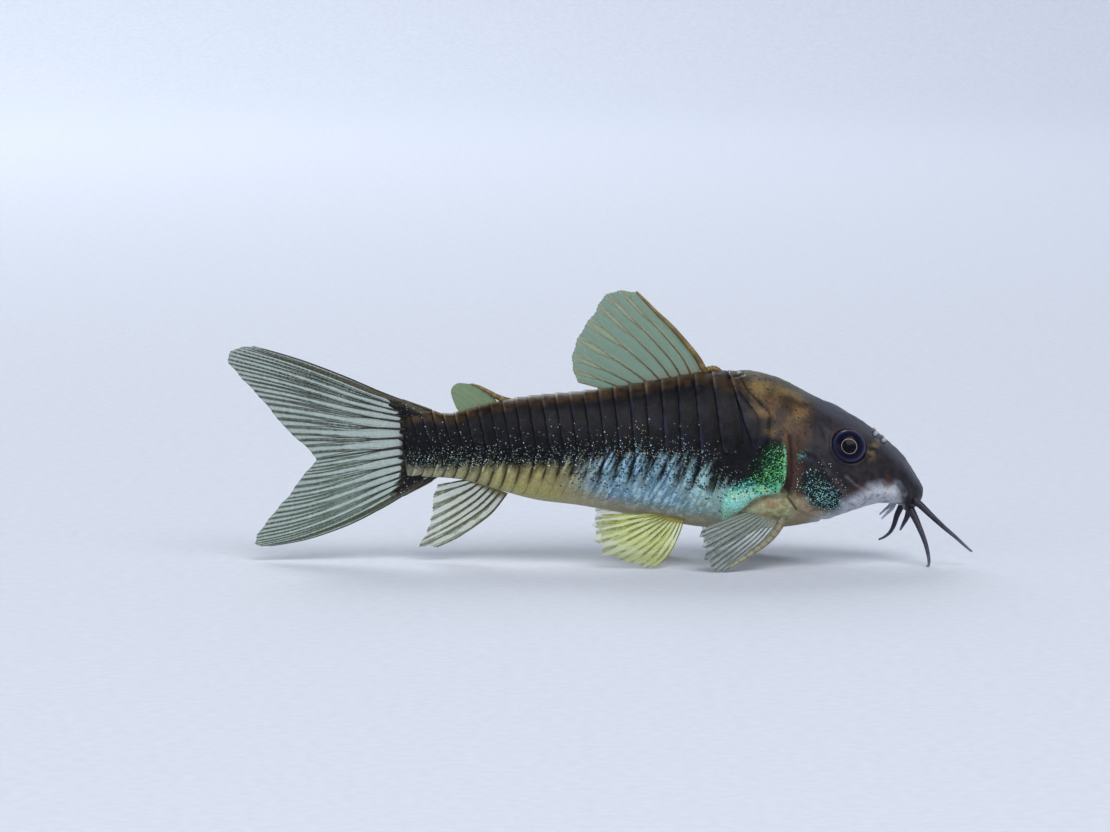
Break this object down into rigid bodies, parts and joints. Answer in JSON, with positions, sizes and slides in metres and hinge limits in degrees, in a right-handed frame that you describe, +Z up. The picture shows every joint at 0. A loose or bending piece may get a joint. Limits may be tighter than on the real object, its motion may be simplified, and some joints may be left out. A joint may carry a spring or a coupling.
{
  "type": "corydoras catfish model",
  "caption": "Life-size still model of a dark bronze corydoras catfish, standing on its paired fins with its barbels at the floor.",
  "frame": {"origin": "on the floor, under the middle of the fish's box", "axes": "+X towards the snout, +Y towards the fish's left, +Z up"},
  "size_m": [0.0708, 0.018, 0.0259],
  "materials": {
    "hide": "wet satin",
    "eye": "polished",
    "fin_spine": "satin",
    "clear_fin": "thin, translucent",
    "yellow_fin": "thin, translucent",
    "barbel": "satin"
  },
  "bodies": {
    "root": {"head": "hide", "trunk": "hide", "tail_stalk": "hide", "eye_left": "eye", "eye_right": "eye", "dorsal_spine": "fin_spine", "dorsal_fin": "clear_fin", "adipose_spine": "fin_spine", "adipose_fin": "clear_fin", "caudal_fin_upper": "clear_fin", "caudal_fin_lower": "clear_fin", "anal_fin": "clear_fin", "pectoral_spine_left": "fin_spine", "pectoral_fin_left": "clear_fin", "pelvic_fin_left": "yellow_fin", "chin_barbel_left": "barbel", "barbel_upper_left": "barbel", "barbel_lower_left": "barbel", "pectoral_spine_right": "fin_spine", "pectoral_fin_right": "clear_fin", "pelvic_fin_right": "yellow_fin", "chin_barbel_right": "barbel", "barbel_upper_right": "barbel", "barbel_lower_right": "barbel"}
  },
  "joints": []
}
